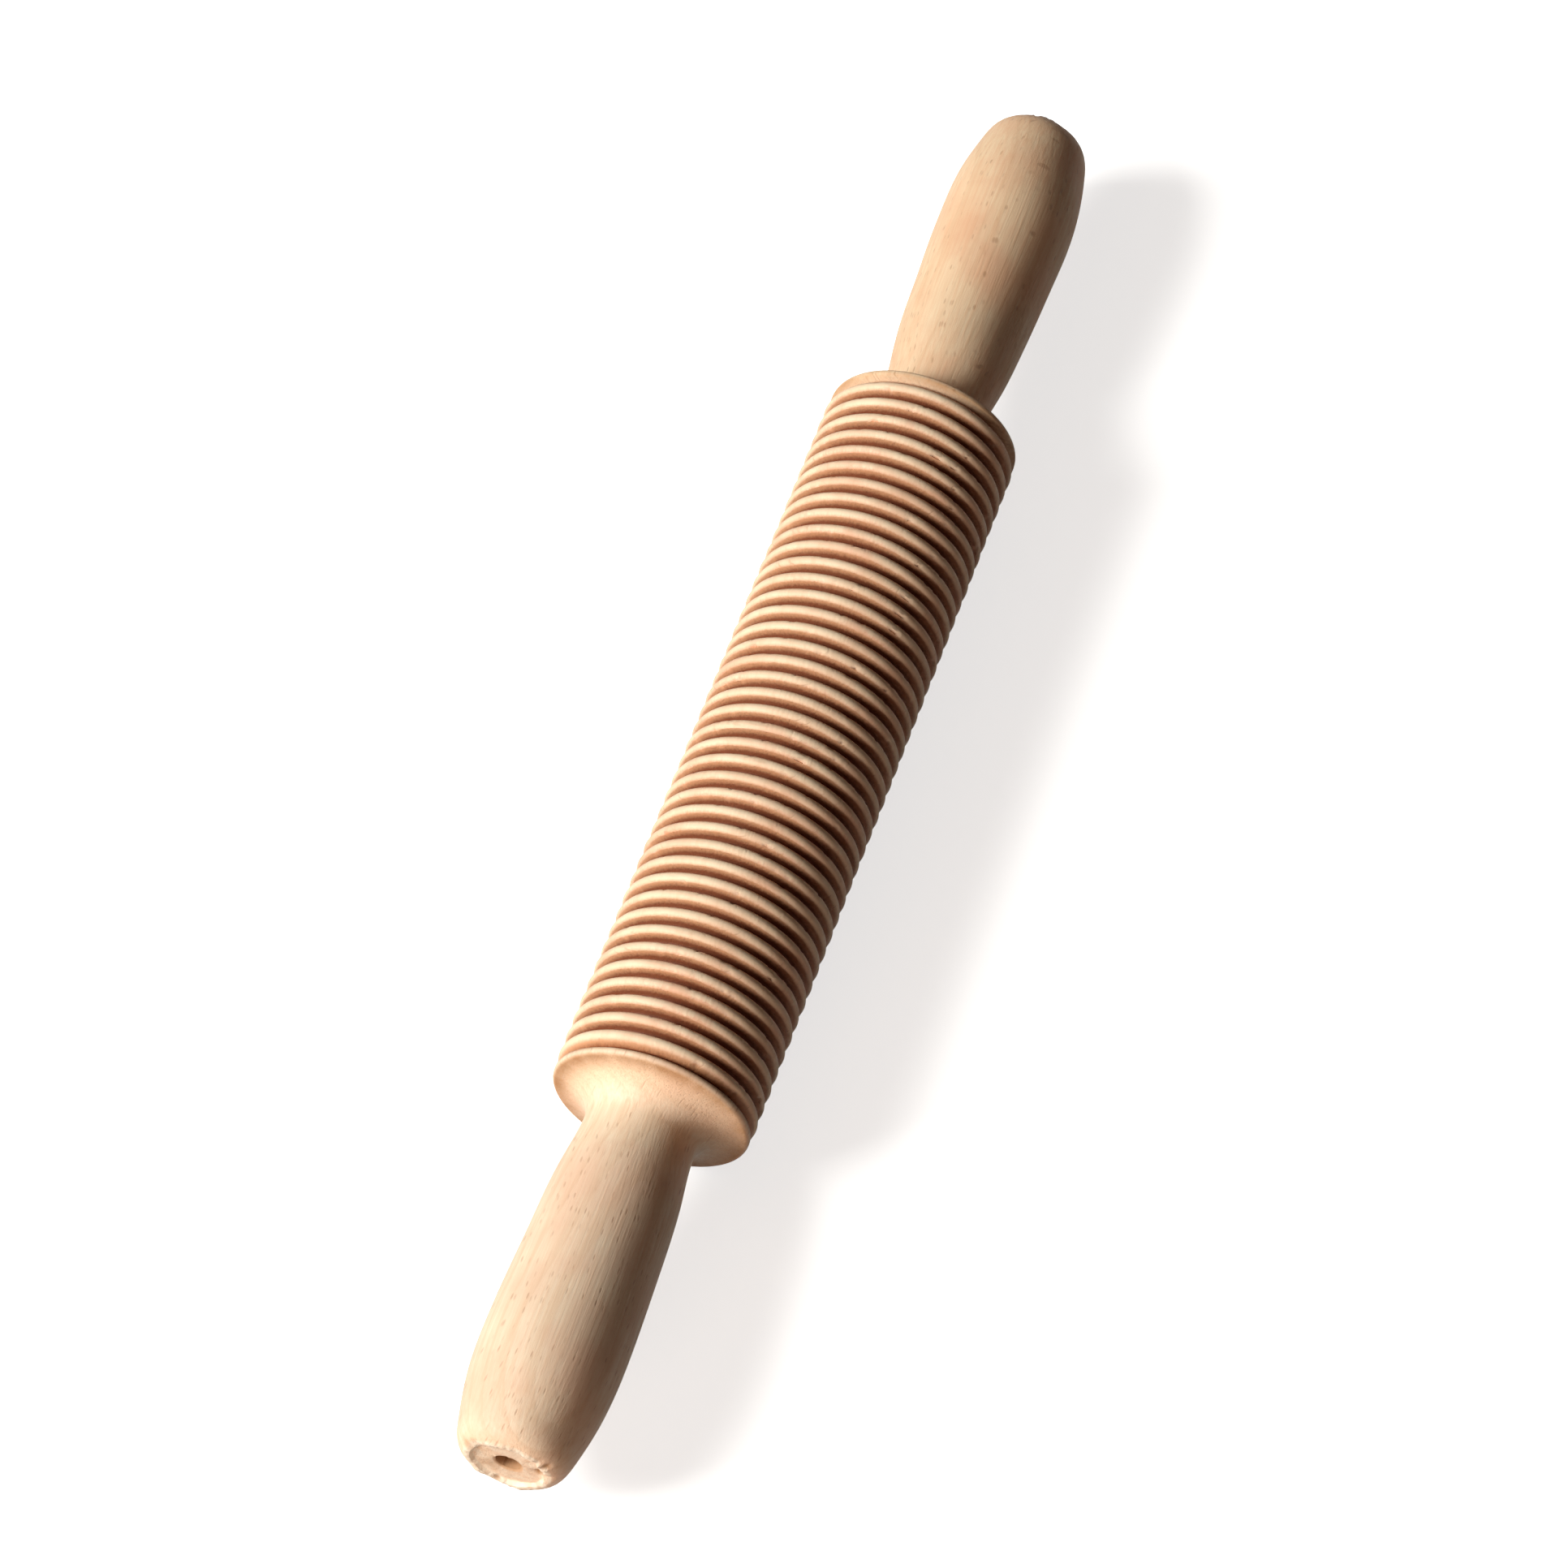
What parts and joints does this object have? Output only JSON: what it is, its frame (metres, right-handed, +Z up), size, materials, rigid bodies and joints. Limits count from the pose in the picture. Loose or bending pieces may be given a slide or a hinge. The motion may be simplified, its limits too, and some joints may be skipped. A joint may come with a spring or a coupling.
{
  "type": "pasta cutter rolling pin",
  "caption": "Wooden rolling pin whose ribbed roller cuts a sheet of pasta into strips as it turns on a steel rod between two turned handles.",
  "frame": {"origin": "the middle of the roller, on the pin's axis", "axes": "+X along the pin from the left handle to the right handle, +Z up; the pin lies with its roller's ribs on the plane at z = -0.020 m"},
  "size_m": [0.32, 0.04, 0.04],
  "materials": {
    "beech_roller": "raw sanded beech",
    "beech_handle": "raw sanded beech",
    "steel": "bright drawn",
    "spring_steel": "phosphated, dark",
    "nylon": "moulded, natural white"
  },
  "bodies": {
    "frame": {"axle_rod": "steel", "thrust_washer_left": "steel", "thrust_washer_right": "steel", "retaining_ring_left": "spring_steel", "retaining_ring_right": "spring_steel", "handle_left": "beech_handle", "handle_right": "beech_handle"},
    "roller": {"cutting_barrel": "beech_roller", "bearing_bush_left": "nylon", "bearing_bush_right": "nylon"}
  },
  "joints": [
    {"name": "roller_spin", "type": "hinge", "parent": "frame", "child": "roller", "pos_m": [0, 0, 0], "axis": [1, 0, 0], "continuous": true}
  ]
}
